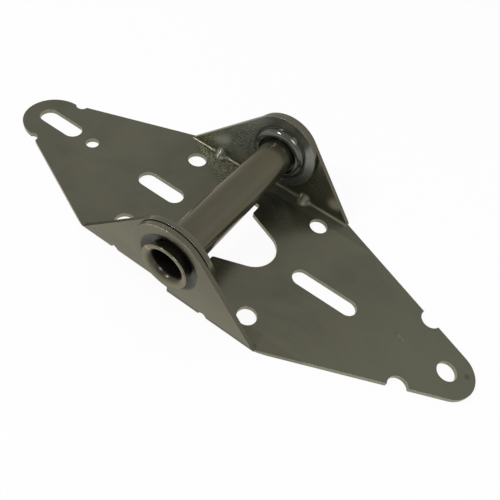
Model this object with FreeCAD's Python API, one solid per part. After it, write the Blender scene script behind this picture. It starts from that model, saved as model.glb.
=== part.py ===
"""Garage door hinge: two folded steel leaves turning on a flared roller tube.

Millimetres. The origin is the middle of the tube's axis. +Y runs along the tube,
+Z points away from the door and +X runs along the outer leaf to its tip.
"""
import FreeCAD, Part
import math
import os

V = FreeCAD.Vector

# Sheet and knuckle
SHEET = 1.9                 # thickness of both leaves
BEND_INSIDE = 1.2           # inside radius of the folds
AXIS_HEIGHT = 20.5          # tube axis above the door face
EAR_GAP = 0.3               # side play between an inner and an outer ear

# Outer leaf, from the tube axis towards its tip
OUTER_HEAD_R = 15.4
OUTER_CORNER_X = 37.3
OUTER_CORNER_HALF = 36.2
OUTER_EDGE_DEG = 22.9
OUTER_TIP_X = 96.8
OUTER_TIP_R = 10.2
OUTER_LEG_X = 0.0
OUTER_NOTCH_X = 83.9
OUTER_NOTCH_Y = 16.6
OUTER_NOTCH_R = 3.9
OUTER_HOLE_X = 27.9
OUTER_HOLE_Y = 26.9
OUTER_HOLE_R = 3.75
OUTER_SLOT_X = 45.3
OUTER_SLOT_LENGTH = 27.6
OUTER_SLOT_WIDTH = 7.3
OUTER_END_HOLE_X = 96.4
OUTER_END_HOLE_R = 3.8
OUTER_GUSSET_X = 15.5

# Window in the outer leaf under the tube
WINDOW_END_X = 12.4
WINDOW_END_R = 9.8
WINDOW_SIDE_DEG = 21.0
WINDOW_STEP_X = 3.2
WINDOW_STEP_Y = 19.6
WINDOW_STEP_ROUND = 1.2

# Inner leaf, from the tube axis towards its tip
INNER_HEAD_R = 15.8
INNER_CORNER_X = -42.1
INNER_CORNER_HALF = 34.8
INNER_EDGE_DEG = 23.4
INNER_TIP_X = -92.5
INNER_TIP_R = 13.0
INNER_LEG_X = -1.8
INNER_NOTCH_X = -90.9
INNER_NOTCH_Y = 14.5
INNER_NOTCH_R = 2.5
INNER_HOLE_X = -32.1
INNER_HOLE_Y = 23.0
INNER_HOLE_R = 4.0
INNER_SLOT_X = -33.3
INNER_END_SLOT_X = -88.9
INNER_SLOT_LENGTH = 21.4
INNER_SLOT_WIDTH = 8.0
INNER_PILOT_X = -70.8
INNER_PILOT_R = 2.75
INNER_GUSSET_X = -26.5

# Nested dishes around the tube: the outer ear's drawn neck is the journal of the inner leaf
DISH_R = 12.0               # where the outer ear's face starts to slope in
DISH_SLOPE_DEG = 24.0
DISH_FLOOR_R = 8.3
NECK_REACH = 5.0            # from the outer ear's outer face to the drawn neck's inner end
RUNNING_CLEARANCE = 0.06    # radial, around the journal and around the tube's neck
NOSE_R = 11.3               # the inner ear's drawn nose
NOSE_REACH = 2.8            # past the ear's inner face, towards the middle

# Round gussets pressed into the bends
GUSSET_LEG = 4.2
GUSSET_R = 2.8
DENT_LEG = 3.9
DENT_R = 2.0

# Roller tube
TUBE_R = 7.35
TUBE_BORE_R = 5.8
TUBE_NECK_R = 6.7
TUBE_TAPER_LENGTH = 1.7     # end of the full body, down to the neck
TUBE_END_PLAY = 0.3         # between the taper's end and the drawn neck
TUBE_LENGTH = 79.6          # the outer ears stand just inside its lips
LIP_R = 9.2
LIP_THICKNESS = 2.1
LIP_STANDOFF = 0.5          # between the outer ear's face and the lip's back
LIP_EDGE = 0.7              # chamfer of the lip's rim
LIP_THROAT = 0.6            # chamfer between the lip's back and the neck
BELL_R = 2.6                # rounding of the tube's mouth

# Places that follow from the sizes above
PLATE_Z = -AXIS_HEIGHT
OUTER_FACE_Y = TUBE_LENGTH / 2 - LIP_THICKNESS - LIP_STANDOFF
OUTER_INSIDE_Y = OUTER_FACE_Y - SHEET
INNER_FACE_Y = OUTER_INSIDE_Y - EAR_GAP
INNER_INSIDE_Y = INNER_FACE_Y - SHEET
NOSE_Y = INNER_INSIDE_Y - NOSE_REACH
NECK_END_Y = OUTER_FACE_Y - NECK_REACH
NECK_BORE_R = TUBE_NECK_R + RUNNING_CLEARANCE
JOURNAL_R = NECK_BORE_R + SHEET
JOURNAL_HOLE_R = JOURNAL_R + RUNNING_CLEARANCE
DISH_FALL = math.tan(math.radians(DISH_SLOPE_DEG))
DISH_BACK_R = DISH_R - SHEET * math.tan(math.radians(DISH_SLOPE_DEG / 2))
MARGIN = 5.0                # how far a cutting tool runs past what it cuts
OVERLAP = 0.3               # how far a fused piece reaches into its carrier


def prism(points, direction):
    """A closed outline, given as edges or corner points, pushed along a vector."""
    if isinstance(points[0], V):
        wire = Part.makePolygon(points + [points[0]])
    else:
        wire = Part.Wire(points)
    return Part.Face(wire).extrude(direction)


def arc(start, middle, end):
    return Part.Arc(start, middle, end).toShape()


def line(start, end):
    return Part.makeLine(start, end)


def channel(face_y, x_low, x_high, height):
    """U section of folded sheet along X: a floor and two ears with round bends."""
    bend_outside = BEND_INSIDE + SHEET
    body = Part.makeBox(x_high - x_low, 2 * face_y, height, V(x_low, -face_y, PLATE_Z))
    corners = [e for e in body.Edges
               if abs(e.BoundBox.ZMax - PLATE_Z) < 1e-6 and e.BoundBox.YLength < 1e-6]
    body = body.makeFillet(bend_outside, corners)
    inside_y = face_y - SHEET
    core = Part.makeBox(x_high - x_low + 2 * MARGIN, 2 * inside_y, height + MARGIN,
                        V(x_low - MARGIN, -inside_y, PLATE_Z + SHEET))
    corners = [e for e in core.Edges
               if abs(e.BoundBox.ZMax - PLATE_Z - SHEET) < 1e-6 and e.BoundBox.YLength < 1e-6]
    core = core.makeFillet(BEND_INSIDE, corners)
    return body.cut(core)


def side_outline(sign, head_r, leg_x, corner_x, tip_x):
    """Outline of a leaf seen along the tube: a round head, a sloping edge and the plate."""
    corner = V(corner_x, 0, PLATE_Z + SHEET)
    reach = math.hypot(corner.x, corner.z)
    toward = math.atan2(corner.z, abs(corner.x))
    touch_angle = toward + math.acos(head_r / reach)
    touch = V(sign * head_r * math.cos(touch_angle), 0, head_r * math.sin(touch_angle))
    leg_angle = -math.acos(sign * leg_x / head_r)
    leg_top = V(leg_x, 0, head_r * math.sin(leg_angle))
    far_angle = (touch_angle + 2 * math.pi + leg_angle) / 2
    far = V(sign * head_r * math.cos(far_angle), 0, head_r * math.sin(far_angle))
    edges = [
        line(V(leg_x, 0, PLATE_Z), V(tip_x, 0, PLATE_Z)),
        line(V(tip_x, 0, PLATE_Z), V(tip_x, 0, PLATE_Z + SHEET)),
        line(V(tip_x, 0, PLATE_Z + SHEET), corner),
        line(corner, touch),
        arc(touch, far, leg_top),
        line(leg_top, V(leg_x, 0, PLATE_Z)),
    ]
    return edges


def plan_outline(sign, back_x, face_y, corner_x, corner_half, edge_deg, tip_x, tip_r):
    """Outline of a leaf seen from above: full width at the ears, then a kite with a round tip."""
    slope = math.tan(math.radians(edge_deg))
    half_at_tip = corner_half - slope * abs(tip_x - corner_x)
    lean = math.radians(edge_deg)
    edge_distance = half_at_tip * math.cos(lean)
    z = PLATE_Z - MARGIN
    wide = face_y + MARGIN
    if tip_r <= edge_distance + 1e-6:
        touch_angle = math.pi / 2 - lean
    else:
        touch_angle = math.pi / 2 - lean + math.acos(edge_distance / tip_r)
    touch = V(tip_x + sign * tip_r * math.cos(touch_angle), tip_r * math.sin(touch_angle), z)
    mirror = V(touch.x, -touch.y, z)
    nose = V(tip_x + sign * tip_r, 0, z)
    points = [mirror, V(corner_x, -corner_half, z), V(corner_x, -wide, z), V(back_x, -wide, z),
              V(back_x, wide, z), V(corner_x, wide, z), V(corner_x, corner_half, z), touch]
    edges = [line(a, b) for a, b in zip(points, points[1:])]
    edges.append(arc(touch, nose, mirror))
    return edges


def round_cut(x, y, radius):
    """A drill through the plate."""
    return Part.makeCylinder(radius, SHEET + 2 * MARGIN, V(x, y, PLATE_Z - MARGIN), V(0, 0, 1))


def slot_cut(x, length, width):
    """A slot through the plate along X with half round ends."""
    radius = width / 2
    reach = length / 2 - radius
    middle = Part.makeBox(2 * reach, width, SHEET + 2 * MARGIN, V(x - reach, -radius, PLATE_Z - MARGIN))
    return middle.fuse([round_cut(x - reach, 0, radius), round_cut(x + reach, 0, radius)])


def window_cut():
    """The window: a round end, two flaring sides and a small step beside each leg."""
    z = PLATE_Z - MARGIN
    lean = math.radians(WINDOW_SIDE_DEG)
    touch = V(WINDOW_END_X + WINDOW_END_R * math.sin(lean), WINDOW_END_R * math.cos(lean), z)
    mouth_y = touch.y + (touch.x - WINDOW_STEP_X) * math.tan(lean)
    back_x = OUTER_LEG_X - MARGIN
    half = [V(WINDOW_STEP_X, mouth_y, z), V(WINDOW_STEP_X, WINDOW_STEP_Y, z), V(back_x, WINDOW_STEP_Y, z)]
    upper = [touch] + half
    lower = [V(p.x, -p.y, p.z) for p in reversed(upper)]
    loop = upper + lower
    edges = [line(a, b) for a, b in zip(loop, loop[1:])]
    edges.append(arc(lower[-1], V(WINDOW_END_X + WINDOW_END_R, 0, z), touch))
    tool = prism(edges, V(0, 0, SHEET + 2 * MARGIN))
    steps = [e for e in tool.Edges
             if abs(e.BoundBox.ZLength - SHEET - 2 * MARGIN) < 1e-6
             and abs(e.BoundBox.XMin - WINDOW_STEP_X) < 1e-6]
    return tool.makeFillet(WINDOW_STEP_ROUND, steps)


def rib(x, side, corner_y, corner_z, leg, radius):
    """A round rod leaning across a bend's corner, cut off at the corner's two walls."""
    along = V(0, side, 1).normalize()
    inward = V(0, -side, 1).normalize()
    foot = V(x, side * (corner_y - leg), corner_z) - inward * radius
    rod = Part.makeCylinder(radius, leg * math.sqrt(2) + 2 * MARGIN, foot - along * MARGIN, along)
    reach = 3 * leg
    low_y = min(side * corner_y, side * (corner_y - reach))
    return rod.common(Part.makeBox(reach, reach, reach, V(x - reach / 2, low_y, corner_z)))


def add_gussets(leaf, x, face_y):
    """Presses one gusset into each bend: a rib inside and a dent outside."""
    inside_y = face_y - SHEET + OVERLAP
    inside_z = PLATE_Z + SHEET - OVERLAP
    for side in (-1, 1):
        leaf = leaf.fuse(rib(x, side, inside_y, inside_z, GUSSET_LEG, GUSSET_R))
        leaf = leaf.cut(rib(x, side, face_y, PLATE_Z, DENT_LEG, DENT_R))
    return leaf


def folded_leaf(sign, face_y, head_r, leg_x, corner_x, corner_half, edge_deg, tip_x, tip_r):
    """A blank folded up at both sides and trimmed to its side and plan outlines."""
    back_x = -sign * (head_r + MARGIN)
    front_x = tip_x + sign * (tip_r + MARGIN)
    low, high = min(back_x, front_x), max(back_x, front_x)
    blank = channel(face_y, low, high, AXIS_HEIGHT + head_r + MARGIN)
    side = prism(side_outline(sign, head_r, leg_x, corner_x, front_x), V(0, 2 * face_y + 2 * MARGIN, 0))
    side.translate(V(0, -face_y - MARGIN, 0))
    plan = prism(plan_outline(sign, back_x, face_y, corner_x, corner_half, edge_deg, tip_x, tip_r),
                 V(0, 0, AXIS_HEIGHT + head_r + 2 * MARGIN))
    return blank.common(side).common(plan)


def at(y, r):
    """A point of a turned section: y along the tube, r from its axis."""
    return V(0, y, r)


def on_arc(y, r, radius, deg):
    """A point on a turned section's arc about (y, r); 0 degrees is outwards, 90 is along +Y."""
    angle = math.radians(deg)
    return at(y + radius * math.sin(angle), r + radius * math.cos(angle))


def bow(start, middle, end):
    """An arc of a turned section, kept as a spline so that its turned face has few facets."""
    return Part.Arc(start, middle, end).toBSpline().toShape()


def turned(edges):
    """Turns a closed section about the tube axis."""
    return Part.Face(Part.Wire(edges)).revolve(V(0, 0, 0), V(0, 1, 0), 360)


def chain(points):
    return [line(a, b) for a, b in zip(points, points[1:])]


def both_ends(shape):
    """A piece of the +Y end and its mirror image at the other end."""
    return [shape, shape.mirror(V(0, 0, 0), V(0, 1, 0))]


def dish():
    """The outer ear's middle: a dish outside, its parallel back inside, and a drawn neck."""
    floor_y = OUTER_FACE_Y - (DISH_R - DISH_FLOOR_R) * DISH_FALL
    chamfer_y = floor_y - (DISH_FLOOR_R - NECK_BORE_R)
    back_y = OUTER_INSIDE_Y - (DISH_BACK_R - JOURNAL_R) * DISH_FALL
    return turned(chain([at(OUTER_FACE_Y, DISH_R), at(floor_y, DISH_FLOOR_R), at(chamfer_y, NECK_BORE_R),
                         at(NECK_END_Y, NECK_BORE_R), at(NECK_END_Y, JOURNAL_R), at(back_y, JOURNAL_R),
                         at(OUTER_INSIDE_Y, DISH_BACK_R), at(OUTER_INSIDE_Y, DISH_R),
                         at(OUTER_FACE_Y, DISH_R)]))


def nose():
    """The inner ear's middle: a sloping mouth for the dish's back, the journal's hole and a round nose."""
    mouth_y = INNER_FACE_Y - (DISH_BACK_R - JOURNAL_HOLE_R) * DISH_FALL
    round_r = NOSE_R - JOURNAL_HOLE_R
    round_y = NOSE_Y + round_r
    middle = on_arc(round_y, JOURNAL_HOLE_R, round_r, -45)
    edges = [bow(at(round_y, NOSE_R), middle, at(NOSE_Y, JOURNAL_HOLE_R))]
    edges += chain([at(NOSE_Y, JOURNAL_HOLE_R), at(mouth_y, JOURNAL_HOLE_R), at(INNER_FACE_Y, DISH_BACK_R),
                    at(INNER_FACE_Y, DISH_R), at(INNER_INSIDE_Y, DISH_R), at(INNER_INSIDE_Y, NOSE_R),
                    at(round_y, NOSE_R)])
    return turned(edges)


def across(radius):
    """A cylinder on the tube axis through both ears."""
    length = 2 * (OUTER_FACE_Y + MARGIN)
    return Part.makeCylinder(radius, length, V(0, -length / 2, 0), V(0, 1, 0))


def outer_leaf():
    leaf = folded_leaf(1, OUTER_FACE_Y, OUTER_HEAD_R, OUTER_LEG_X, OUTER_CORNER_X, OUTER_CORNER_HALF,
                       OUTER_EDGE_DEG, OUTER_TIP_X, OUTER_TIP_R)
    leaf = add_gussets(leaf, OUTER_GUSSET_X, OUTER_FACE_Y)
    leaf = leaf.cut(across(DISH_R)).fuse(both_ends(dish()))
    cuts = [window_cut(), slot_cut(OUTER_SLOT_X, OUTER_SLOT_LENGTH, OUTER_SLOT_WIDTH),
            round_cut(OUTER_END_HOLE_X, 0, OUTER_END_HOLE_R)]
    for side in (-1, 1):
        cuts.append(round_cut(OUTER_HOLE_X, side * OUTER_HOLE_Y, OUTER_HOLE_R))
        cuts.append(round_cut(OUTER_NOTCH_X, side * OUTER_NOTCH_Y, OUTER_NOTCH_R))
    return leaf.cut(cuts).removeSplitter()


def inner_leaf():
    leaf = folded_leaf(-1, INNER_FACE_Y, INNER_HEAD_R, INNER_LEG_X, INNER_CORNER_X, INNER_CORNER_HALF,
                       INNER_EDGE_DEG, INNER_TIP_X, INNER_TIP_R)
    leaf = add_gussets(leaf, INNER_GUSSET_X, INNER_FACE_Y)
    leaf = leaf.cut(across(DISH_R)).fuse(both_ends(nose()))
    cuts = [slot_cut(INNER_SLOT_X, INNER_SLOT_LENGTH, INNER_SLOT_WIDTH),
            slot_cut(INNER_END_SLOT_X, INNER_SLOT_LENGTH, INNER_SLOT_WIDTH),
            round_cut(INNER_PILOT_X, 0, INNER_PILOT_R)]
    for side in (-1, 1):
        cuts.append(round_cut(INNER_HOLE_X, side * INNER_HOLE_Y, INNER_HOLE_R))
        cuts.append(round_cut(INNER_NOTCH_X, side * INNER_NOTCH_Y, INNER_NOTCH_R))
    return leaf.cut(cuts).removeSplitter()


def roller_tube():
    """The tube: a full body, a tapered step to each neck and both ends flared into a lip."""
    end_y = TUBE_LENGTH / 2
    bell_y = end_y - BELL_R
    bell_r = TUBE_BORE_R + BELL_R
    back_y = end_y - LIP_THICKNESS
    taper_end = NECK_END_Y - TUBE_END_PLAY
    taper_start = taper_end - TUBE_TAPER_LENGTH
    edges = [line(at(0, TUBE_BORE_R), at(bell_y, TUBE_BORE_R)),
             bow(at(bell_y, TUBE_BORE_R), on_arc(bell_y, bell_r, BELL_R, 135), at(end_y, bell_r))]
    edges += chain([at(end_y, bell_r), at(end_y, LIP_R - LIP_EDGE), at(end_y - LIP_EDGE, LIP_R),
                    at(back_y, LIP_R), at(back_y, TUBE_NECK_R + LIP_THROAT),
                    at(back_y - LIP_THROAT, TUBE_NECK_R), at(taper_end, TUBE_NECK_R),
                    at(taper_start, TUBE_R), at(0, TUBE_R), at(0, TUBE_BORE_R)])
    halves = both_ends(turned(edges))
    return halves[0].fuse(halves[1]).removeSplitter()


def save(name, shape):
    solid = shape.Solids[0] if len(shape.Solids) == 1 else shape
    print(name, "solids", len(shape.Solids), "valid", shape.isValid(), "cm3", round(shape.Volume / 1000, 3))
    solid.exportStep(os.path.join("parts", name + ".step"))


os.makedirs("parts", exist_ok=True)
save("outer_leaf", outer_leaf())
save("inner_leaf", inner_leaf())
save("roller_tube", roller_tube())
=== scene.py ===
"""Looks of a garage door hinge: oiled mill steel on two folded leaves and a flared roller tube."""
import math
from collections import namedtuple

import bmesh
import bpy
from mathutils import Matrix, Vector


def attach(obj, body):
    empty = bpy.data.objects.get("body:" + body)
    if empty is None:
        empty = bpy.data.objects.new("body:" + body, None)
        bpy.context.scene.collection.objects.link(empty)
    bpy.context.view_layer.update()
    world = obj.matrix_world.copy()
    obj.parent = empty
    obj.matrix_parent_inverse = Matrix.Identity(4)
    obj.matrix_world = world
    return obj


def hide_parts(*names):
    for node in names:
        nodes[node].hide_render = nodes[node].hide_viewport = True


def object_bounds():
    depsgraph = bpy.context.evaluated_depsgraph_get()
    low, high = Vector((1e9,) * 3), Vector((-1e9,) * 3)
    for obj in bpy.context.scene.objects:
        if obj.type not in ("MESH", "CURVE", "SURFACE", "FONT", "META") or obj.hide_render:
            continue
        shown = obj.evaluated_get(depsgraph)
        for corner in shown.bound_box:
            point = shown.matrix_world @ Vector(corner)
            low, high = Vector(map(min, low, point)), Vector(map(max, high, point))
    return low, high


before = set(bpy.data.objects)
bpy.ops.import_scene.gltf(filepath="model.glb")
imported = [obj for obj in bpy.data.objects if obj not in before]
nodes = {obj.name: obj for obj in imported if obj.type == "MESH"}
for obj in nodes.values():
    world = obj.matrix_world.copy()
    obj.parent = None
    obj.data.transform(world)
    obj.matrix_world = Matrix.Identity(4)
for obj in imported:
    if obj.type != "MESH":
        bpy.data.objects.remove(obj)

MM = 0.001
cad_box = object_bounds()

# Photographer's view
VIEW_AZIMUTH = math.radians(21.04)
VIEW_ELEVATION = math.radians(52.77)
VIEW_ROLL = math.radians(15.89)
VIEW_DISTANCE = 185.00 * MM
VIEW_SHIFT_RIGHT = -6.12 * MM
VIEW_SHIFT_UP = 18.93 * MM
FOCAL_PIXELS = 504.55
IMAGE_PIXELS = 500
SENSOR_MM = 36.0
NEAREST_SEEN = 5.0 * MM

# Stamped sheet
EDGE_ROUND = 0.16 * MM
EDGE_SEGMENTS = 3
MERGE_REACH = 0.0002 * MM
FLAT_LIMIT = math.radians(0.6)
SHARP_ANGLE = math.radians(20)
FLAT_FACE_WEIGHT = 100

# Oil film, mill grain and rubbed edges
BLOTCH_SHARE = 0.82
SMEAR_STRETCH = (0.35, 1.0, 1.0)
SMEAR_FINENESS = 4.0
ROLLING_LINES = 2600.0
LINES_SHARE = 0.6
SPECKLE = 1500.0
WORN_PATCHES = 420.0
SHEAR_TEXTURE = 700.0
RUBBED_REACH = 0.40 * MM
RUBBED_SAMPLES = 6
FLECK_SHARE = 0.05
GRAIN_ROUGHNESS = 0.04
GRAIN_STRENGTH = 0.04
GRAIN_DEPTH = 0.02 * MM

# Both steels
METAL_SHARE = 0.86
EDGE_LOOK = 0.15 * MM
EDGE_SAMPLES = 8

# Leaf steel: tones are linear, shares run from 0 to 1
LEAF_DRY = (0.188, 0.188, 0.135)
LEAF_OILED = (0.152, 0.153, 0.111)
LEAF_RUBBED = (0.42, 0.41, 0.32)
LEAF_ROLLED = (0.10, 1.0, 1.0)
LEAF_ROUGHNESS = 0.23
LEAF_FILM_GLOSS = 0.025
LEAF_EDGE_SHARE = 0.5
BEND_TOP = -16.8 * MM
BEND_SIDE = 29.5 * MM
# Painted shade in the bends below the ears, darker in the crease; its share is this gain times the leaf's bend gain.
BEND_OIL = (0.120, 0.120, 0.090)
BEND_OIL_PER_GAIN = 2.0
GUSSET_REACH = 6.5 * MM
GUSSET_SOFTNESS = 2.4 * MM
MOTTLE = 120.0
MOTTLE_TONE = (0.200, 0.180, 0.126)
MOTTLE_SHARE = 0.35
# Painted light: the outer leaf grows lighter towards its tip, for a brighter reflection there.
TIP_FROM = 30.0 * MM
TIP_TO = 90.0 * MM
TIP_TONE = (0.235, 0.240, 0.172)
TIP_SHARE = 0.40
# A thin broken bright line on the near ear's head: a burred edge, partly a painted highlight on its rounded edge.
BURR_HALF_WIDTH = 0.24 * MM
BURR_CORE = 0.06 * MM
BURR_GAPS = 900.0
BURR_TONE = (0.75, 0.72, 0.58)
BURR_SHARE = 0.7
PLATE_EDGE_TONE = (0.37, 0.38, 0.285)
PLATE_EDGE_SHARE = 0.6
EAR_EDGE_TONE = (0.185, 0.170, 0.122)
EAR_EDGE_SHARE = 0.85

# What differs from leaf to leaf. Painted light and shade lie round the axis out to reach, fading over fade, and
# within side of the middle.
Drawn = namedtuple("Drawn", "reach fade side tone share polish")
Mark = namedtuple("Mark", "middle radius tone share")
Burr = namedtuple("Burr", "angle half_turn radius")
Leaf = namedtuple("Leaf", "gusset film_size bend_gain drawn marks burr")
PLATE_TOP = -18.6 * MM
PALE_SCRATCH = (0.290, 0.285, 0.215)
OUTER_LEAF = Leaf(
    gusset=(15.5 * MM, 35.0 * MM, -PLATE_TOP),
    film_size=26.0,
    bend_gain=0.22,
    # Painted shade in the dishes round the tube on the outer leaf's ears.
    drawn=(Drawn(12.2 * MM, 1.0 * MM, 40.0 * MM, (0.050, 0.056, 0.058), 0.85, -0.08),),
    marks=(
        Mark((103.3 * MM, 2.7 * MM, PLATE_TOP), 1.3 * MM, (0.050, 0.048, 0.036), 0.85),
        Mark((75.0 * MM, 2.1 * MM, PLATE_TOP), 0.8 * MM, (0.095, 0.090, 0.068), 0.7),
        Mark((76.6 * MM, 1.7 * MM, PLATE_TOP), 0.9 * MM, PALE_SCRATCH, 0.6),
        Mark((78.2 * MM, 1.2 * MM, PLATE_TOP), 0.8 * MM, PALE_SCRATCH, 0.6),
    ),
    burr=Burr(math.radians(110), math.radians(20), 15.30 * MM))
INNER_LEAF = Leaf(
    gusset=(26.5 * MM, 32.5 * MM, -PLATE_TOP),
    film_size=30.0,
    bend_gain=0.04,
    drawn=(
        # Painted light on the inner faces of the inner leaf's ears, fading out from the axis, then painted shade
        # round the nose.
        Drawn(45.0 * MM, 33.0 * MM, 34.0 * MM, (0.285, 0.305, 0.290), 0.85, 0.00),
        Drawn(12.6 * MM, 1.2 * MM, 34.0 * MM, (0.092, 0.096, 0.078), 0.85, 0.09),
    ),
    marks=(Mark((-33.3 * MM, -27.0 * MM, PLATE_TOP), 0.9 * MM, (0.080, 0.076, 0.058), 0.7),),
    burr=None)

# Tube steel
DrawLine = namedtuple("DrawLine", "angle width tone")
TUBE_DRY = (0.224, 0.216, 0.148)
TUBE_OILED = (0.180, 0.176, 0.118)
TUBE_RUBBED = (0.44, 0.40, 0.31)
TUBE_DRAWN = (1.0, 0.04, 1.0)
TUBE_FILM_SIZE = 34.0
TUBE_ROUGHNESS = 0.20
TUBE_FILM_GLOSS = 0.04
TUBE_EDGE_SHARE = 0.7
CLOUDS = 55.0
CLOUD_TONE = (0.220, 0.196, 0.126)
CLOUD_SHARE = 0.8
# Bands fixed in angle round the tube's axis that paint its light and shade: a bright line of painted highlight and a
# brown line on the upper side towards -X, a dark band of painted shade towards +X, lighter and darker bands between.
DRAW_LINE_SHARE = 0.8
DRAW_LINES = (
    DrawLine(math.radians(102.0), math.radians(25.0), (0.186, 0.176, 0.108)),
    DrawLine(math.radians(52.0), math.radians(22.0), (0.245, 0.234, 0.164)),
    DrawLine(math.radians(24.0), math.radians(12.0), (0.140, 0.135, 0.093)),
    DrawLine(math.radians(128.0), math.radians(9.0), (0.270, 0.185, 0.115)),
    DrawLine(math.radians(146.0), math.radians(7.0), (0.480, 0.400, 0.290)),
)
# Painted shade inside the bore, darkest deep in it and fading out over the mouth.
GREASE_FROM = 8.0 * MM
GREASE_FULL = 6.3 * MM
GREASE_TONE = (0.040, 0.037, 0.029)
GREASE_SHARE = 0.9

# Roller tube, sizes along and around its axis
TUBE_AROUND = 112
ROUNDING_POINTS = 8
TUBE_SIZES = {
    "Half Length": 39.80 * MM,
    "Body Half Length": 30.20 * MM,
    "Step Length": 1.70 * MM,
    "Body Radius": 7.35 * MM,
    "Neck Radius": 6.70 * MM,
    "Bore Radius": 5.80 * MM,
    "Lip Radius": 9.20 * MM,
    "Lip Thickness": 0.80 * MM,
    "Mouth Rounding": 2.95 * MM,
    "Rim Rounding": 0.35 * MM,
    "Lip Back Rounding": 0.30 * MM,
    "Throat Rounding": 0.70 * MM,
    "Step Rounding": 0.60 * MM,
}

# Room
FLOOR_SIZE = 6.0
FLOOR_DROP = 0.15 * MM
FLOOR_TONE = (0.86, 0.86, 0.86)
FLOOR_ROUGHNESS = 0.9
FLOOR_SPECULAR = 0.1
FLOOR_GLOW_SHARE = 0.85
FLOOR_TO_CAMERA = 1.07
FLOOR_TO_METAL = 0.86
LOW_TO_METAL = 0.95
BACK_TO_METAL = 0.50
OVERHEAD_TO_METAL = 0.50
WARM_TO_METAL = (1.0, 0.965, 0.90)
WORLD_FILL = 0.35
WORLD_TO_CAMERA = 1.0
WHITE = (1.0, 1.0, 1.0)
LAMP_BOUNCES = 0
Lamp = namedtuple("Lamp", "name place size power")
LAMPS = (
    Lamp("key", (-0.50, -0.56, 0.68), (0.17, 0.14), 2.1),
    Lamp("overhead", (0.55, -0.35, 1.00), (0.40, 0.40), 2.5),
)


def node_link(tree, source, target):
    """Joins an output socket to an input socket."""
    tree.links.new(source, target)


def add_node(tree, kind, label, **settings):
    """A node with its label and its own settings."""
    item = tree.nodes.new(kind)
    item.label = label
    for key, value in settings.items():
        setattr(item, key, value)
    return item


def new_group(name, inputs, outputs):
    """A shader node group with named sockets; a float input is given with its default."""
    group = bpy.data.node_groups.new(name, "ShaderNodeTree")
    for label, kind, default in inputs:
        socket = group.interface.new_socket(label, in_out="INPUT", socket_type=kind)
        if default is not None:
            socket.default_value = default
    for label, kind in outputs:
        group.interface.new_socket(label, in_out="OUTPUT", socket_type=kind)
    enter = group.nodes.new("NodeGroupInput")
    leave = group.nodes.new("NodeGroupOutput")
    return group, enter, leave


def maths(tree, operation, first, second=None, label=""):
    """A Math node; an argument is a socket or a number."""
    item = add_node(tree, "ShaderNodeMath", label or operation.lower(), operation=operation)
    for socket, value in zip(item.inputs, (first, second)):
        if value is None:
            continue
        if isinstance(value, (int, float)):
            socket.default_value = value
        else:
            node_link(tree, value, socket)
    return item.outputs[0]


def noise(tree, vector, scale, detail, label, roughness=0.5):
    """A noise value; its scale is in turns a metre."""
    item = add_node(tree, "ShaderNodeTexNoise", label)
    item.inputs["Scale"].default_value = scale
    item.inputs["Detail"].default_value = detail
    item.inputs["Roughness"].default_value = roughness
    node_link(tree, vector, item.inputs["Vector"])
    return item.outputs["Fac"]


def stretched(tree, vector, scale, label):
    """A place with each of its parts scaled."""
    item = add_node(tree, "ShaderNodeMapping", label)
    item.inputs["Scale"].default_value = scale
    node_link(tree, vector, item.inputs["Vector"])
    return item.outputs["Vector"]


def spread(tree, value, low, high, label, low_out=0.0, high_out=1.0):
    """A soft step: low_out up to low, high_out from high on; low may be the larger one."""
    item = add_node(tree, "ShaderNodeMapRange", label, interpolation_type="SMOOTHSTEP")
    item.inputs["From Min"].default_value = low
    item.inputs["From Max"].default_value = high
    item.inputs["To Min"].default_value = low_out
    item.inputs["To Max"].default_value = high_out
    node_link(tree, value, item.inputs["Value"])
    return item.outputs["Result"]


def blended(tree, mask, first, second, label):
    """Mixes two colours, each a socket or a colour, by a mask socket."""
    item = add_node(tree, "ShaderNodeMix", label, data_type="RGBA")
    node_link(tree, mask, item.inputs["Factor"])
    for socket, value in ((item.inputs["A"], first), (item.inputs["B"], second)):
        if isinstance(value, tuple):
            socket.default_value = value + (1.0,)
        else:
            node_link(tree, value, socket)
    return item.outputs["Result"]


def oil_film_group():
    """Blotches of thin oil and handling on rolled steel: a mask from 0, dry, to 1, wet."""
    group, enter, leave = new_group(
        "oil_film",
        [("Vector", "NodeSocketVector", None), ("Size", "NodeSocketFloat", 60.0)],
        [("Mask", "NodeSocketFloat")])
    wide = add_node(group, "ShaderNodeTexNoise", "wide blotches")
    wide.inputs["Detail"].default_value = 3.0
    wide.inputs["Distortion"].default_value = 0.8
    node_link(group, enter.outputs["Vector"], wide.inputs["Vector"])
    node_link(group, enter.outputs["Size"], wide.inputs["Scale"])
    smear = stretched(group, enter.outputs["Vector"], SMEAR_STRETCH, "smears along the leaf")
    fine = add_node(group, "ShaderNodeTexNoise", "smears")
    fine.inputs["Detail"].default_value = 5.0
    node_link(group, smear, fine.inputs["Vector"])
    node_link(group, maths(group, "MULTIPLY", enter.outputs["Size"], SMEAR_FINENESS), fine.inputs["Scale"])
    both = maths(group, "ADD", maths(group, "MULTIPLY", wide.outputs["Fac"], BLOTCH_SHARE),
                 maths(group, "MULTIPLY", fine.outputs["Fac"], 1.0 - BLOTCH_SHARE))
    node_link(group, spread(group, both, 0.36, 0.64, "mask"), leave.inputs["Mask"])
    return group


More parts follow.
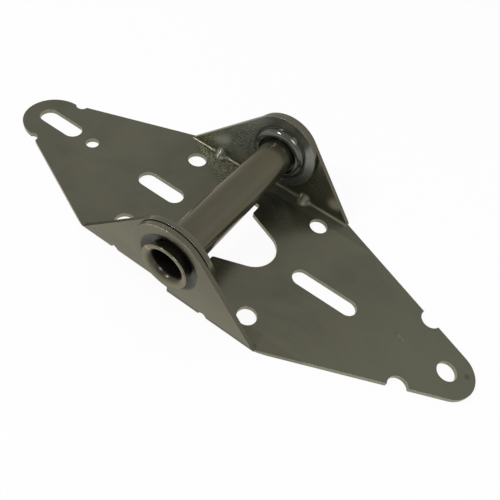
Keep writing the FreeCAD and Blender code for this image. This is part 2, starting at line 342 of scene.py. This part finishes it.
def mill_grain_group():
    """Rolling grain and pickled speckle of mill steel, as a height and as a tone mask."""
    group, enter, leave = new_group(
        "mill_grain",
        [("Vector", "NodeSocketVector", None), ("Along", "NodeSocketVector", (1.0, 1.0, 1.0))],
        [("Height", "NodeSocketFloat"), ("Tone", "NodeSocketFloat")])
    run = add_node(group, "ShaderNodeVectorMath", "stretch along the roll", operation="MULTIPLY")
    node_link(group, enter.outputs["Vector"], run.inputs[0])
    node_link(group, enter.outputs["Along"], run.inputs[1])
    lines = noise(group, run.outputs["Vector"], ROLLING_LINES, 3.0, "rolling lines", 0.6)
    speckle = noise(group, enter.outputs["Vector"], SPECKLE, 2.0, "speckle")
    height = maths(group, "ADD", maths(group, "MULTIPLY", lines, LINES_SHARE),
                   maths(group, "MULTIPLY", speckle, 1.0 - LINES_SHARE))
    node_link(group, height, leave.inputs["Height"])
    node_link(group, spread(group, height, 0.38, 0.62, "tone"), leave.inputs["Tone"])
    return group


def rubbed_edge_group():
    """Bright rubbed metal where a small bevel turns the surface's normal."""
    group, enter, leave = new_group(
        "rubbed_edge",
        [("Vector", "NodeSocketVector", None), ("Reach", "NodeSocketFloat", RUBBED_REACH)],
        [("Mask", "NodeSocketFloat")])
    bevel = add_node(group, "ShaderNodeBevel", "rounded normal", samples=RUBBED_SAMPLES)
    node_link(group, enter.outputs["Reach"], bevel.inputs["Radius"])
    plain = add_node(group, "ShaderNodeNewGeometry", "plain normal")
    turn = add_node(group, "ShaderNodeVectorMath", "turn of the normal", operation="DOT_PRODUCT")
    node_link(group, bevel.outputs["Normal"], turn.inputs[0])
    node_link(group, plain.outputs["Normal"], turn.inputs[1])
    edge = spread(group, turn.outputs["Value"], 0.995, 0.86, "edge")
    patches = noise(group, enter.outputs["Vector"], WORN_PATCHES, 4.0, "patches")
    patchy = spread(group, patches, 0.35, 0.6, "worn patches", 0.35, 1.0)
    node_link(group, maths(group, "MULTIPLY", edge, patchy), leave.inputs["Mask"])
    return group


def axis_angle(tree, split):
    """Angle around the tube's axis, from a place split into its three parts."""
    return maths(tree, "ARCTAN2", split.outputs["Z"], split.outputs["X"])


def apart(tree, value, other):
    """How far two values are from each other."""
    return maths(tree, "ABSOLUTE", maths(tree, "SUBTRACT", value, other))


def axis_radius(tree, split):
    """Distance from the tube's axis, from a place split into its three parts."""
    squares = maths(tree, "ADD", maths(tree, "POWER", split.outputs["X"], 2.0),
                    maths(tree, "POWER", split.outputs["Z"], 2.0), "squares")
    return maths(tree, "POWER", squares, 0.5, "distance from the axis")


def cut_edge_group():
    """Sheared sides of the sheet: faces of the plate that look sideways, and of the ears that look along the leaf."""
    group, enter, leave = new_group(
        "cut_edge",
        [("Vector", "NodeSocketVector", None), ("Plate Top", "NodeSocketFloat", -18.55 * MM),
         ("Keep Out Radius", "NodeSocketFloat", 13.0 * MM)],
        [("Plate Mask", "NodeSocketFloat"), ("Ear Mask", "NodeSocketFloat")])
    place = add_node(group, "ShaderNodeSeparateXYZ", "place")
    node_link(group, enter.outputs["Vector"], place.inputs["Vector"])
    facing = add_node(group, "ShaderNodeSeparateXYZ", "facing")
    node_link(group, add_node(group, "ShaderNodeTexCoord", "own normal").outputs["Normal"], facing.inputs["Vector"])
    upright = spread(group, maths(group, "ABSOLUTE", facing.outputs["Z"]), 0.20, 0.08, "faces sideways")
    endwise = spread(group, maths(group, "ABSOLUTE", facing.outputs["Y"]), 0.20, 0.08, "faces along the leaf")
    in_plate = maths(group, "LESS_THAN", place.outputs["Z"], enter.outputs["Plate Top"])
    clear = maths(group, "GREATER_THAN", axis_radius(group, place), enter.outputs["Keep Out Radius"])
    on_ear = maths(group, "MULTIPLY", maths(group, "SUBTRACT", 1.0, in_plate), clear)
    torn = noise(group, enter.outputs["Vector"], SHEAR_TEXTURE, 3.0, "sheared texture")
    uneven = spread(group, torn, 0.3, 0.65, "uneven shear", 0.55, 1.0)
    on_plate = maths(group, "MULTIPLY", upright, in_plate)
    node_link(group, maths(group, "MULTIPLY", on_plate, uneven), leave.inputs["Plate Mask"])
    node_link(group, maths(group, "MULTIPLY", endwise, on_ear), leave.inputs["Ear Mask"])
    return group


def near_point_group():
    """A soft round spot on a piece: 1 at its middle, 0 beyond its radius."""
    group, enter, leave = new_group(
        "near_point",
        [("Vector", "NodeSocketVector", None), ("Middle", "NodeSocketVector", (0.0, 0.0, 0.0)),
         ("Radius", "NodeSocketFloat", 4.0 * MM)],
        [("Mask", "NodeSocketFloat")])
    gap = add_node(group, "ShaderNodeVectorMath", "distance", operation="DISTANCE")
    node_link(group, enter.outputs["Vector"], gap.inputs[0])
    node_link(group, enter.outputs["Middle"], gap.inputs[1])
    share = maths(group, "DIVIDE", gap.outputs["Value"], enter.outputs["Radius"])
    node_link(group, spread(group, share, 1.0, 0.55, "soft spot"), leave.inputs["Mask"])
    return group


OIL_FILM = oil_film_group()
MILL_GRAIN = mill_grain_group()
RUBBED_EDGE = rubbed_edge_group()
CUT_EDGE = cut_edge_group()
NEAR_POINT = near_point_group()


def placed(tree, group, label, **values):
    """A shader node group in a material; each value is a socket or a constant, named after its input."""
    item = add_node(tree, "ShaderNodeGroup", label, node_tree=group)
    for key, value in values.items():
        key = key.replace("_", " ")
        if hasattr(value, "is_linked"):
            node_link(tree, value, item.inputs[key])
        else:
            item.inputs[key].default_value = value
    return item


class Steel:
    """A material under construction: its tree, the object's own place and the masks made so far."""

    def __init__(self, name, dry, oiled, rubbed, grain_along, film_size):
        self.material = bpy.data.materials.new(name)
        self.material.use_nodes = True
        self.tree = self.material.node_tree
        self.shader = self.tree.nodes["Principled BSDF"]
        self.shader.inputs["Metallic"].default_value = METAL_SHARE
        self.place = add_node(self.tree, "ShaderNodeTexCoord", "place").outputs["Object"]
        self.split = add_node(self.tree, "ShaderNodeSeparateXYZ", "place in its parts")
        node_link(self.tree, self.place, self.split.inputs["Vector"])
        self.film = placed(self.tree, OIL_FILM, "oil film", Vector=self.place, Size=film_size).outputs["Mask"]
        self.grain = placed(self.tree, MILL_GRAIN, "mill grain", Vector=self.place, Along=grain_along)
        self.rubbed = rubbed
        self.colour = blended(self.tree, self.film, dry, oiled, "film tone")
        self.soft_radius = None
        self.polish = []

    def over(self, mask, colour, share, label):
        """Lays a colour over what is there, where the mask is."""
        amount = maths(self.tree, "MULTIPLY", mask, share)
        self.colour = blended(self.tree, amount, self.colour, colour, label)

    def roughness(self, base, film_gloss, kept_dull, dull_gain):
        """Roughness from the oil film, the grain and the zones that are polished or kept dull."""
        rough = spread(self.tree, self.film, 0.0, 1.0, "gloss of the film", base + film_gloss, base - film_gloss)
        grain = maths(self.tree, "MULTIPLY", self.grain.outputs["Tone"], GRAIN_ROUGHNESS)
        rough = maths(self.tree, "ADD", rough, grain)
        for zone, gain in self.polish:
            rough = maths(self.tree, "SUBTRACT", rough, maths(self.tree, "MULTIPLY", zone, gain))
        if kept_dull is not None:
            rough = maths(self.tree, "ADD", rough, maths(self.tree, "MULTIPLY", kept_dull, dull_gain))
        return rough

    def close(self, base, film_gloss, edge_share, kept_dull=None, dull_gain=0.0):
        """Adds flecks and rubbed edges, joins all to the shader and gives the material."""
        edge = placed(self.tree, RUBBED_EDGE, "rubbed edge", Vector=self.place, Reach=RUBBED_REACH).outputs["Mask"]
        if kept_dull is not None:
            edge = maths(self.tree, "MULTIPLY", edge, maths(self.tree, "SUBTRACT", 1.0, kept_dull))
        self.over(self.grain.outputs["Tone"], self.rubbed, FLECK_SHARE, "flecks")
        self.over(edge, self.rubbed, edge_share, "rubbed edges")
        node_link(self.tree, self.colour, self.shader.inputs["Base Color"])
        node_link(self.tree, self.roughness(base, film_gloss, kept_dull, dull_gain), self.shader.inputs["Roughness"])
        soft = add_node(self.tree, "ShaderNodeBevel", "rounded by pressing", samples=EDGE_SAMPLES)
        soft.inputs["Radius"].default_value = EDGE_LOOK
        if self.soft_radius is not None:
            node_link(self.tree, self.soft_radius, soft.inputs["Radius"])
        bump = add_node(self.tree, "ShaderNodeBump", "grain relief")
        bump.inputs["Strength"].default_value = GRAIN_STRENGTH
        bump.inputs["Distance"].default_value = GRAIN_DEPTH
        node_link(self.tree, self.grain.outputs["Height"], bump.inputs["Height"])
        node_link(self.tree, soft.outputs["Normal"], bump.inputs["Normal"])
        node_link(self.tree, bump.outputs["Normal"], self.shader.inputs["Normal"])
        return self.material


def drawn_metal(work, from_axis, drawn):
    """Painted light and shade round the tube's axis on the ears, over the dish and the nose, each zone more or less
    polished.
    """
    off_middle = maths(work.tree, "ABSOLUTE", work.split.outputs["Y"])
    standing = maths(work.tree, "GREATER_THAN", work.split.outputs["Z"], BEND_TOP, "on the ear")
    for part in drawn:
        zone = spread(work.tree, from_axis, part.reach, part.reach - part.fade, "painted zone around the axis")
        zone = maths(work.tree, "MULTIPLY", zone, standing)
        zone = maths(work.tree, "MULTIPLY", zone, maths(work.tree, "LESS_THAN", off_middle, part.side))
        work.over(zone, part.tone, part.share, "painted light and shade")
        if part.polish:
            work.polish.append((zone, part.polish))


def bright_burr(work, from_axis, burr):
    """A thin broken line of bright metal along the ear's head: a burred edge, partly a painted highlight where the
    rounded edge catches the light.
    """
    away = apart(work.tree, axis_angle(work.tree, work.split), burr.angle)
    line = spread(work.tree, apart(work.tree, from_axis, burr.radius), BURR_HALF_WIDTH, BURR_CORE, "burr line")
    length = spread(work.tree, away, burr.half_turn, 0.5 * burr.half_turn, "burr length")
    gaps = noise(work.tree, work.place, BURR_GAPS, 2.0, "broken burr")
    line = maths(work.tree, "MULTIPLY", line, length)
    line = maths(work.tree, "MULTIPLY", line, spread(work.tree, gaps, 0.38, 0.58, "burr gaps"))
    work.over(line, BURR_TONE, BURR_SHARE, "bright line with painted highlight")


def leaf_steel(name, leaf):
    """Rolled sheet: oil film, painted shade in the bends, mottle, marks, painted light towards the tip, painted light
    and shade round the axis on the ears, a burred edge line that is partly a painted highlight, sheared edges and
    soft gussets.
    """
    work = Steel(name, LEAF_DRY, LEAF_OILED, LEAF_RUBBED, LEAF_ROLLED, leaf.film_size)
    both_sides = add_node(work.tree, "ShaderNodeVectorMath", "both sides", operation="ABSOLUTE")
    node_link(work.tree, work.place, both_sides.inputs[0])
    pressed = placed(work.tree, NEAR_POINT, "gusset", Vector=both_sides.outputs["Vector"], Middle=leaf.gusset,
                     Radius=GUSSET_REACH)
    widening = maths(work.tree, "MULTIPLY", pressed.outputs["Mask"], GUSSET_SOFTNESS)
    work.soft_radius = maths(work.tree, "ADD", widening, EDGE_LOOK)

    low = maths(work.tree, "LESS_THAN", work.split.outputs["Z"], BEND_TOP, "below the ear")
    outward = maths(work.tree, "GREATER_THAN", maths(work.tree, "ABSOLUTE", work.split.outputs["Y"]), BEND_SIDE)
    in_bend = maths(work.tree, "MULTIPLY", low, outward)
    # Painted shade in the bend.
    work.over(in_bend, BEND_OIL, BEND_OIL_PER_GAIN * leaf.bend_gain, "painted shade in the bend")
    mottle = spread(work.tree, noise(work.tree, work.place, MOTTLE, 2.0, "mottled skin"), 0.45, 0.62, "mottle mask")
    work.over(mottle, MOTTLE_TONE, MOTTLE_SHARE, "warmer mottle")
    for mark in leaf.marks:
        spot = placed(work.tree, NEAR_POINT, "mark", Vector=work.place, Middle=mark.middle, Radius=mark.radius)
        work.over(spot.outputs["Mask"], mark.tone, mark.share, "mark tone")
    # Painted light towards the outer leaf's tip.
    tip = spread(work.tree, work.split.outputs["X"], TIP_FROM, TIP_TO, "towards the tip")
    work.over(tip, TIP_TONE, TIP_SHARE, "painted lighter tip")

    from_axis = axis_radius(work.tree, work.split)
    # Painted light and shade round the tube on the ears.
    drawn_metal(work, from_axis, leaf.drawn)
    # A burred edge line on the near ear's head, partly a painted highlight.
    if leaf.burr is not None:
        bright_burr(work, from_axis, leaf.burr)
    sheared = placed(work.tree, CUT_EDGE, "sheared edge", Vector=work.place)
    work.over(sheared.outputs["Plate Mask"], PLATE_EDGE_TONE, PLATE_EDGE_SHARE, "sheared metal")
    work.over(sheared.outputs["Ear Mask"], EAR_EDGE_TONE, EAR_EDGE_SHARE, "oiled ear edge")
    return work.close(LEAF_ROUGHNESS, LEAF_FILM_GLOSS, LEAF_EDGE_SHARE, in_bend, leaf.bend_gain)


def tube_steel(name):
    """Tube steel from the drawing die, with warm clouds, bands of painted highlight and shade along it and painted
    shade in its bore.
    """
    work = Steel(name, TUBE_DRY, TUBE_OILED, TUBE_RUBBED, TUBE_DRAWN, TUBE_FILM_SIZE)
    cloud = spread(work.tree, noise(work.tree, work.place, CLOUDS, 2.0, "tint clouds"), 0.42, 0.62, "tint mask")
    work.over(cloud, CLOUD_TONE, CLOUD_SHARE, "warm tint")
    turn = axis_angle(work.tree, work.split)
    # Bands of painted highlight and shade along the tube.
    for drawn in DRAW_LINES:
        line = spread(work.tree, apart(work.tree, turn, drawn.angle), drawn.width, 0.0, "painted light band")
        work.over(line, drawn.tone, DRAW_LINE_SHARE, "painted light band tone")
    # Painted shade in the bore.
    bore = spread(work.tree, axis_radius(work.tree, work.split), GREASE_FROM, GREASE_FULL, "inside the bore")
    work.over(bore, GREASE_TONE, GREASE_SHARE, "painted shade in the bore")
    return work.close(TUBE_ROUGHNESS, TUBE_FILM_GLOSS, TUBE_EDGE_SHARE)


outer_finish = leaf_steel("oiled_steel_outer", OUTER_LEAF)
inner_finish = leaf_steel("oiled_steel_inner", INNER_LEAF)
tube_finish = tube_steel("oiled_steel_tube")


def ground_down(piece):
    """Bakes a piece's modifiers into a mesh of its own."""
    bpy.context.view_layer.update()
    result = bpy.data.meshes.new_from_object(piece.evaluated_get(bpy.context.evaluated_depsgraph_get()))
    piece.modifiers.clear()
    piece.data = result
    result.name = piece.name
    return piece


def flat_faces_lead(piece):
    """Lets the large flat faces set the normals, so that the small roundings shade smoothly."""
    weigh = piece.modifiers.new("flat_faces_lead", "WEIGHTED_NORMAL")
    weigh.weight = FLAT_FACE_WEIGHT
    weigh.keep_sharp = True


def stamped(node, name, material):
    """The same solid with the small rounded edges of a pressed sheet."""
    mesh = nodes[node].data.copy()
    mesh.name = name
    work = bmesh.new()
    work.from_mesh(mesh)
    bmesh.ops.remove_doubles(work, verts=work.verts, dist=MERGE_REACH)
    bmesh.ops.dissolve_limit(work, angle_limit=FLAT_LIMIT, verts=work.verts, edges=work.edges,
                             use_dissolve_boundaries=False)
    work.to_mesh(mesh)
    work.free()
    mesh.materials.clear()
    mesh.materials.append(material)
    mesh.shade_smooth()
    piece = bpy.data.objects.new(name, mesh)
    bpy.context.scene.collection.objects.link(piece)
    bevel = piece.modifiers.new("edge_round", "BEVEL")
    bevel.width = EDGE_ROUND
    bevel.segments = EDGE_SEGMENTS
    bevel.limit_method = "ANGLE"
    bevel.angle_limit = SHARP_ANGLE
    bevel.use_clamp_overlap = True
    flat_faces_lead(piece)
    return ground_down(piece)


def by_station(tree, index, values, label):
    """One number for each corner of a profile."""
    item = add_node(tree, "GeometryNodeIndexSwitch", label, data_type="FLOAT")
    while len(item.index_switch_items) < len(values):
        item.index_switch_items.new()
    node_link(tree, index, item.inputs[0])
    for number, value in enumerate(values):
        node_link(tree, value, item.inputs[number + 1])
    return item.outputs[0]


def turned_tube_group():
    """A tube turned from half a profile, mirrored at its middle, with every corner rounded."""
    tree = bpy.data.node_groups.new("turned_tube", "GeometryNodeTree")
    for label, value in TUBE_SIZES.items():
        tree.interface.new_socket(label, in_out="INPUT", socket_type="NodeSocketFloat").default_value = value
    tree.interface.new_socket("Around", in_out="INPUT", socket_type="NodeSocketInt").default_value = TUBE_AROUND
    tree.interface.new_socket("Steel", in_out="INPUT", socket_type="NodeSocketMaterial")
    tree.interface.new_socket("Geometry", in_out="OUTPUT", socket_type="NodeSocketGeometry")
    size = tree.nodes.new("NodeGroupInput").outputs
    leave = tree.nodes.new("NodeGroupOutput")

    back = maths(tree, "SUBTRACT", size["Half Length"], size["Lip Thickness"], "back of the lip")
    step = maths(tree, "ADD", size["Body Half Length"], size["Step Length"], "end of the step")
    radii = [size["Bore Radius"], size["Lip Radius"], size["Lip Radius"], size["Neck Radius"],
             size["Neck Radius"], size["Body Radius"]]
    places = [size["Half Length"], size["Half Length"], back, back, step, size["Body Half Length"]]
    rounds = [size["Mouth Rounding"], size["Rim Rounding"], size["Lip Back Rounding"], size["Throat Rounding"],
              size["Step Rounding"], size["Step Rounding"]]

    corners = add_node(tree, "GeometryNodeMeshLine", "profile corners")
    corners.inputs["Count"].default_value = 2 * len(radii)
    outline = add_node(tree, "GeometryNodeMeshToCurve", "profile")
    node_link(tree, corners.outputs["Mesh"], outline.inputs["Mesh"])
    index = add_node(tree, "GeometryNodeInputIndex", "corner").outputs[0]
    half = maths(tree, "MINIMUM", index, maths(tree, "SUBTRACT", float(2 * len(radii) - 1), index))
    far = maths(tree, "GREATER_THAN", index, len(radii) - 0.5, "on the far half")
    side = maths(tree, "SUBTRACT", maths(tree, "MULTIPLY", far, 2.0), 1.0)
    place = add_node(tree, "ShaderNodeCombineXYZ", "corner place")
    radius = by_station(tree, half, radii, "radius")
    node_link(tree, maths(tree, "SUBTRACT", radius, size["Bore Radius"]), place.inputs["X"])
    node_link(tree, maths(tree, "MULTIPLY", by_station(tree, half, places, "place"), side), place.inputs["Y"])
    put = add_node(tree, "GeometryNodeSetPosition", "corners in place")
    node_link(tree, outline.outputs["Curve"], put.inputs["Geometry"])
    node_link(tree, place.outputs["Vector"], put.inputs["Position"])
    closed = add_node(tree, "GeometryNodeSetSplineCyclic", "closed profile")
    closed.inputs["Cyclic"].default_value = True
    node_link(tree, put.outputs["Geometry"], closed.inputs["Geometry"])
    rounded = add_node(tree, "GeometryNodeFilletCurve", "rounded corners", mode="POLY")
    rounded.inputs["Count"].default_value = ROUNDING_POINTS
    node_link(tree, by_station(tree, half, rounds, "rounding"), rounded.inputs["Radius"])
    node_link(tree, closed.outputs["Geometry"], rounded.inputs["Curve"])
    ring = add_node(tree, "GeometryNodeCurvePrimitiveCircle", "turn around the axis", mode="RADIUS")
    node_link(tree, size["Around"], ring.inputs["Resolution"])
    node_link(tree, size["Bore Radius"], ring.inputs["Radius"])
    turned = add_node(tree, "GeometryNodeCurveToMesh", "turned solid")
    node_link(tree, ring.outputs["Curve"], turned.inputs["Curve"])
    node_link(tree, rounded.outputs["Curve"], turned.inputs["Profile Curve"])
    laid = add_node(tree, "GeometryNodeTransform", "axis along Y")
    laid.inputs["Rotation"].default_value = (math.radians(-90), 0.0, 0.0)
    node_link(tree, turned.outputs["Mesh"], laid.inputs["Geometry"])
    smooth = add_node(tree, "GeometryNodeSetShadeSmooth", "smooth")
    node_link(tree, laid.outputs["Geometry"], smooth.inputs["Geometry"])
    real = add_node(tree, "GeometryNodeRealizeInstances", "real mesh")
    node_link(tree, smooth.outputs["Geometry"], real.inputs["Geometry"])
    coat = add_node(tree, "GeometryNodeSetMaterial", "steel")
    node_link(tree, size["Steel"], coat.inputs["Material"])
    node_link(tree, real.outputs["Geometry"], coat.inputs["Geometry"])
    node_link(tree, coat.outputs["Geometry"], leave.inputs["Geometry"])
    return tree


def turned_tube(name, material):
    """The roller tube, turned from its named sizes."""
    group = turned_tube_group()
    piece = bpy.data.objects.new(name, bpy.data.meshes.new(name))
    bpy.context.scene.collection.objects.link(piece)
    turning = piece.modifiers.new("turning", "NODES")
    turning.node_group = group
    values = dict(TUBE_SIZES, Around=TUBE_AROUND, Steel=material)
    for socket in group.interface.items_tree:
        if socket.in_out == "INPUT":
            turning[socket.identifier] = values[socket.name]
    flat_faces_lead(piece)
    return ground_down(piece)


def finished(piece, body, node):
    """Hands a piece over: what it moves with, which node it stands for."""
    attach(piece, body)
    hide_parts(node)


finished(stamped("outer_leaf", "outer_leaf_pressing", outer_finish), "outer_leaf", "outer_leaf")
finished(stamped("inner_leaf", "inner_leaf_pressing", inner_finish), "inner_leaf", "inner_leaf")
finished(turned_tube("roller_tube_turned", tube_finish), "outer_leaf", "roller_tube")


def floor():
    """A pale floor that looks white, keeps a light shadow and is dimmer and warmer to the metal."""
    low = cad_box[0][2] - FLOOR_DROP
    mesh = bpy.data.meshes.new("floor")
    half = FLOOR_SIZE / 2
    corners = [(-half, -half, low), (half, -half, low), (half, half, low), (-half, half, low)]
    mesh.from_pydata(corners, [], [(0, 1, 2, 3)])
    plane = bpy.data.objects.new("floor", mesh)
    bpy.context.scene.collection.objects.link(plane)
    material = bpy.data.materials.new("pale_floor")
    material.use_nodes = True
    tree = material.node_tree
    shader = tree.nodes["Principled BSDF"]
    shader.inputs["Base Color"].default_value = FLOOR_TONE + (1.0,)
    shader.inputs["Roughness"].default_value = FLOOR_ROUGHNESS
    shader.inputs["Specular IOR Level"].default_value = FLOOR_SPECULAR
    white = add_node(tree, "ShaderNodeEmission", "white ground")
    path = add_node(tree, "ShaderNodeLightPath", "ray")
    split = add_node(tree, "ShaderNodeSeparateXYZ", "place on the floor")
    node_link(tree, add_node(tree, "ShaderNodeTexCoord", "floor place").outputs["Object"], split.inputs["Vector"])
    to_metal = spread(tree, split.outputs["Y"], -0.02, 0.25, "darker behind", FLOOR_TO_METAL, BACK_TO_METAL)
    level = add_node(tree, "ShaderNodeMix", "dimmer to the metal", data_type="FLOAT")
    node_link(tree, path.outputs["Is Camera Ray"], level.inputs["Factor"])
    node_link(tree, to_metal, level.inputs["A"])
    level.inputs["B"].default_value = FLOOR_TO_CAMERA
    node_link(tree, level.outputs["Result"], white.inputs["Strength"])
    warm = blended(tree, path.outputs["Is Camera Ray"], WARM_TO_METAL, WHITE, "warmer to the metal")
    node_link(tree, warm, white.inputs["Color"])
    seen = maths(tree, "MAXIMUM", path.outputs["Is Camera Ray"], path.outputs["Is Glossy Ray"])
    share = maths(tree, "MULTIPLY", seen, FLOOR_GLOW_SHARE)
    mix = add_node(tree, "ShaderNodeMixShader", "ground")
    node_link(tree, share, mix.inputs["Fac"])
    node_link(tree, shader.outputs["BSDF"], mix.inputs[1])
    node_link(tree, white.outputs["Emission"], mix.inputs[2])
    node_link(tree, mix.outputs["Shader"], tree.nodes["Material Output"].inputs["Surface"])
    mesh.materials.append(material)


def room():
    """White to the camera, and a soft studio for the metal: bright low down, dimmer overhead."""
    world = bpy.data.worlds.new("studio")
    bpy.context.scene.world = world
    world.use_nodes = True
    tree = world.node_tree
    back = tree.nodes["Background"]
    back.inputs["Color"].default_value = WHITE + (1.0,)
    direction = add_node(tree, "ShaderNodeTexCoord", "direction").outputs["Generated"]
    split = add_node(tree, "ShaderNodeSeparateXYZ", "height")
    node_link(tree, direction, split.inputs["Vector"])
    low = spread(tree, split.outputs["Y"], -0.2, 0.4, "darker behind", LOW_TO_METAL, BACK_TO_METAL)
    studio = add_node(tree, "ShaderNodeMix", "low to overhead", data_type="FLOAT")
    node_link(tree, spread(tree, split.outputs["Z"], 0.05, 0.55, "height"), studio.inputs["Factor"])
    node_link(tree, low, studio.inputs["A"])
    studio.inputs["B"].default_value = OVERHEAD_TO_METAL
    path = add_node(tree, "ShaderNodeLightPath", "ray")
    glossy = add_node(tree, "ShaderNodeMix", "metal sees the studio", data_type="FLOAT")
    node_link(tree, path.outputs["Is Glossy Ray"], glossy.inputs["Factor"])
    glossy.inputs["A"].default_value = WORLD_FILL
    node_link(tree, studio.outputs["Result"], glossy.inputs["B"])
    camera = add_node(tree, "ShaderNodeMix", "camera sees white", data_type="FLOAT")
    node_link(tree, path.outputs["Is Camera Ray"], camera.inputs["Factor"])
    node_link(tree, glossy.outputs["Result"], camera.inputs["A"])
    camera.inputs["B"].default_value = WORLD_TO_CAMERA
    node_link(tree, camera.outputs["Result"], back.inputs["Strength"])


def soft_light(look):
    """A rectangular lamp aimed at the tube; it lights only what it reaches directly, which keeps grain out."""
    data = bpy.data.lights.new(look.name, "AREA")
    data.shape = "RECTANGLE"
    data.size, data.size_y = look.size
    data.cycles.max_bounces = LAMP_BOUNCES
    data.energy = look.power
    lamp = bpy.data.objects.new(look.name, data)
    lamp.location = look.place
    lamp.rotation_euler = (-Vector(look.place)).to_track_quat("-Z", "Y").to_euler()
    bpy.context.scene.collection.objects.link(lamp)


def photographer():
    """The camera, as fitted to the photo's outlines: it looks at the part from in front and above."""
    back = Vector((math.sin(VIEW_AZIMUTH) * math.cos(VIEW_ELEVATION),
                   -math.cos(VIEW_AZIMUTH) * math.cos(VIEW_ELEVATION), math.sin(VIEW_ELEVATION)))
    level = Vector((math.cos(VIEW_AZIMUTH), math.sin(VIEW_AZIMUTH), 0.0))
    upright = back.cross(level)
    right = level * math.cos(VIEW_ROLL) + upright * math.sin(VIEW_ROLL)
    up = upright * math.cos(VIEW_ROLL) - level * math.sin(VIEW_ROLL)
    place = back * VIEW_DISTANCE - right * VIEW_SHIFT_RIGHT - up * VIEW_SHIFT_UP
    data = bpy.data.cameras.new("photo_view")
    data.sensor_width = SENSOR_MM
    data.lens = FOCAL_PIXELS * SENSOR_MM / IMAGE_PIXELS
    data.clip_start = NEAREST_SEEN
    camera = bpy.data.objects.new("photo_view", data)
    camera.matrix_world = Matrix.Translation(place) @ Matrix((right, up, back)).transposed().to_4x4()
    bpy.context.scene.collection.objects.link(camera)
    bpy.context.scene.camera = camera


floor()
room()
for lamp_look in LAMPS:
    soft_light(lamp_look)
photographer()
bpy.context.scene.view_settings.view_transform = "Standard"
